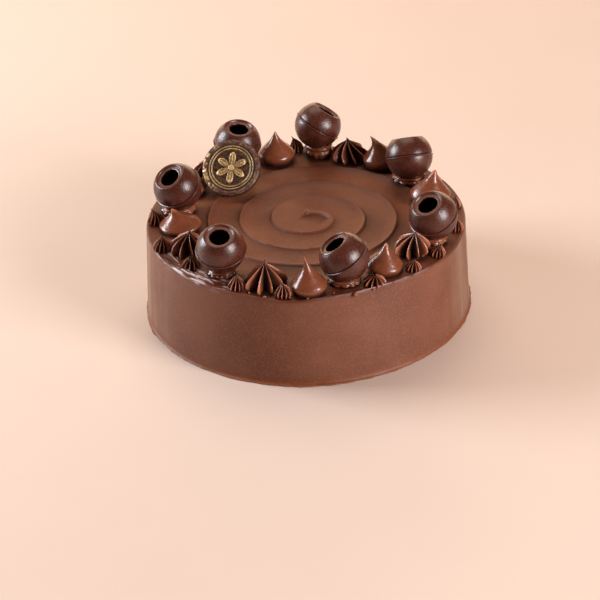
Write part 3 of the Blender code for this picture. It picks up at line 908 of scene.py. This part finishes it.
def seal_rings():
    """Radius and height of the seal's rings, from the middle of its face to that of its back."""
    shoulder = SEAL_FACE_RADIUS + 0.9
    radii = [0.0, *between(0.35, shoulder, 0.22), *between(shoulder, SEAL_RADIUS, 0.35)]
    heights = [0.0] * len(radii)
    for share in (0.25, 0.5, 0.75, 1.0):
        radii.append(SEAL_RADIUS)
        heights.append(-share * (SEAL_THICKNESS - SEAL_ROUNDING))
    radii += [SEAL_RADIUS - SEAL_ROUNDING, 0.0]
    heights += [-SEAL_THICKNESS, -SEAL_THICKNESS]
    return radii, heights


def flower(around, radius):
    """Relief of the flower as shares of its height, and a mask of the gold on it."""
    inward = PETAL_REACH * np.abs(np.cos(0.5 * PETALS * around)) ** 0.8 - radius
    petal = ramp(inward, -0.3, 0.3) * ramp(radius, 1.6, 2.4)
    rim = peak(inward, 0.35, 0.5) * ramp(radius, 1.8, 2.8)
    from_vein = (around * PETALS / tau + 0.5) % 1.0 - 0.5
    vein = peak(from_vein, 0.0, 0.035) * (radius > 2.5) * petal
    button = ramp(BUTTON_RADIUS - radius, 0.0, 0.4)
    relief = np.maximum(np.maximum(0.35 * petal, rim), np.maximum(0.8 * vein, button))
    gold = np.maximum(np.maximum(rim, vein), np.maximum(0.8 * button, 0.3 * petal))
    return relief, gold


def build_seal():
    """Round seal with a raised wax-like border, two thin rings and a flower in relief."""
    radii, heights = seal_rings()
    sizes = ring_sizes(SEAL_POINTS, len(radii))
    around, radius, depth = round_points(sizes, radii, heights)
    local = upright(around, radius, depth)
    front = depth > -0.01
    beyond = radius - SEAL_FACE_RADIUS
    face = front * (1.0 - ramp(beyond, -0.1, 0.7))
    border = front * ramp(beyond, 0.2, 1.4)
    groove_shade = front * peak(beyond, 0.55, 0.45)
    rings = np.clip(sum(peak(beyond, place, width) for place, width in SEAL_RINGS), 0.0, 1.0)
    relief, gold = flower(around, radius)
    folds = noise(np.stack([around * SEAL_RADIUS, radius * 0.3, depth], axis=1), 2.2, 76)

    local[:, 2] += face * (FLOWER_HEIGHT * relief + RING_HEIGHT * rings - SEAL_RECESS)
    local[:, 2] += 0.04 * front * noise(local, 0.9, 71)
    fall = np.clip((beyond - BORDER_HALF_WIDTH) / BORDER_HALF_WIDTH, -1.0, 1.0) ** 2
    local[:, 2] -= front * ramp(beyond, 0.2, 0.8) * fall
    local[:, 2] -= border * (0.30 * (0.5 + 0.5 * noise(local, 4.5, 72)) + 0.16 * (1.0 + folds))
    left = np.clip(-tipped(local, 90 - SEAL_RISE, SEAL_DIRECTION)[:, 0] / SEAL_RADIUS, 0.0, 1.0)
    rough = noise(local, 1.1, 74)
    local[:, 2] += 0.22 * border * left * rough
    uneven = 0.5 + 0.5 * noise(local, 6.0, 73) + 0.3 * noise(local, 1.6, 75)
    local[:, :2] *= (1.0 - 0.022 * ramp(radius, SEAL_RADIUS - 2.0, SEAL_RADIUS) * uneven)[:, None]

    worn = 0.75 + 0.4 * noise(local, 3.0, 77)
    gold = face * np.maximum(gold, 0.8 * worn * rings)
    brushed = (0.12 + 0.88 * ramp(left, 0.3, 0.9)) * ramp(rough, -0.1, 0.5)
    # Dark: painted shade in the groove round the face and along the face's edge.
    masks = {
        "gold": np.maximum(gold, 0.9 * border * brushed),
        "dark": np.maximum(0.9 * groove_shade, 0.6 * face * peak(beyond, -1.0, 0.3)),
        "border": border,
    }
    rise = radians(SEAL_RISE)
    middle = SEAL_RADIUS * cos(rise) + SEAL_THICKNESS * sin(rise) + GAP
    points = tipped(local, 90 - SEAL_RISE, SEAL_DIRECTION) + (*SEAL_PLACE, CAKE_HEIGHT + middle)
    piece("fine_seal", points, ring_faces(sizes), "seal", "seal", masks)


# Floor, camera and lights


def build_floor():
    """Plain round floor just under the cake."""
    sizes = [1] + [FLOOR_POINTS] * (len(FLOOR_RINGS) - 1)
    points = upright(*round_points(sizes, FLOOR_RINGS, [FLOOR_HEIGHT] * len(FLOOR_RINGS)))
    mesh = bpy.data.meshes.new("floor")
    mesh.from_pydata((points * MM).tolist(), [], ring_faces(sizes))
    mesh.materials.append(pale_floor())
    floor = bpy.data.objects.new("floor", mesh)
    bpy.context.scene.collection.objects.link(floor)


def aim(thing, place, target, roll=0.0):
    """Set a camera or light at a place so that it looks at a target, both in millimetres."""
    away = Vector(place) - Vector(target)
    turn = away.to_track_quat("Z", "Y").to_matrix() @ Matrix.Rotation(radians(roll), 3, "Z")
    thing.matrix_world = Matrix.Translation(Vector(place) * MM) @ turn.to_4x4()


def build_camera():
    """Camera at the photograph's viewing angle."""
    lens = bpy.data.cameras.new("camera")
    lens.sensor_width = SENSOR_WIDTH
    lens.lens = FOCAL_PIXELS * SENSOR_WIDTH / IMAGE_SIZE
    camera = bpy.data.objects.new("camera", lens)
    bpy.context.scene.collection.objects.link(camera)
    aim(camera, CAMERA_PLACE, CAMERA_TARGET, CAMERA_ROLL)
    bpy.context.scene.camera = camera


def far_place(direction, rise, distance):
    """Place in a direction, at a rise above the horizon, both in degrees, and at a distance."""
    flat = distance * cos(radians(rise))
    east, north = flat * cos(radians(direction)), flat * sin(radians(direction))
    return east, north, distance * sin(radians(rise))


def build_lights():
    """Soft lamps round the cake, and a dim warm sky."""
    for name, direction, rise, distance, width, tall, watts, tint in LIGHTS:
        lamp = bpy.data.lights.new(name, "AREA")
        lamp.shape = "RECTANGLE"
        lamp.size = width * MM
        lamp.size_y = tall * MM
        lamp.energy = watts
        lamp.color = tint
        light = bpy.data.objects.new(name, lamp)
        bpy.context.scene.collection.objects.link(light)
        aim(light, far_place(direction, rise, distance), (0.0, 0.0, CAKE_HEIGHT))
    sky = bpy.data.worlds.new("sky")
    sky.use_nodes = True
    background = sky.node_tree.nodes["Background"]
    background.inputs["Color"].default_value = colour(SKY_COLOUR)
    background.inputs["Strength"].default_value = SKY_STRENGTH
    bpy.context.scene.world = sky


MATERIALS = {"frosting": frosting(), "truffle": truffle(), "piping": piping(), "seal": seal()}

build_cake()
build_crumbs()
for number, (spot, (x, y, height, tilt, direction)) in enumerate(TRUFFLES.items()):
    build_truffle(spot, x, y, height, tilt, direction, 100 + 10 * number)
    build_dollop(spot, x, y, height, DOLLOPS[spot], 200 + 10 * number)
for number, (spot, numbers) in enumerate(DROPS.items()):
    build_drop(spot, *numbers, 300 + 10 * number)
for number, (spot, numbers) in enumerate(LARGE_STARS.items()):
    build_star("star_" + spot, *numbers, STAR_STYLES[spot], LARGE_FINS, LARGE_DEPTH, 400 + number)
for number, (spot, numbers) in enumerate(SMALL_STARS.items()):
    build_star("small_star_" + spot, *numbers, SMALL_STYLE, SMALL_FINS, SMALL_DEPTH, 500 + number)
build_seal()
build_floor()
build_camera()
build_lights()
bpy.context.scene.view_settings.view_transform = "Standard"
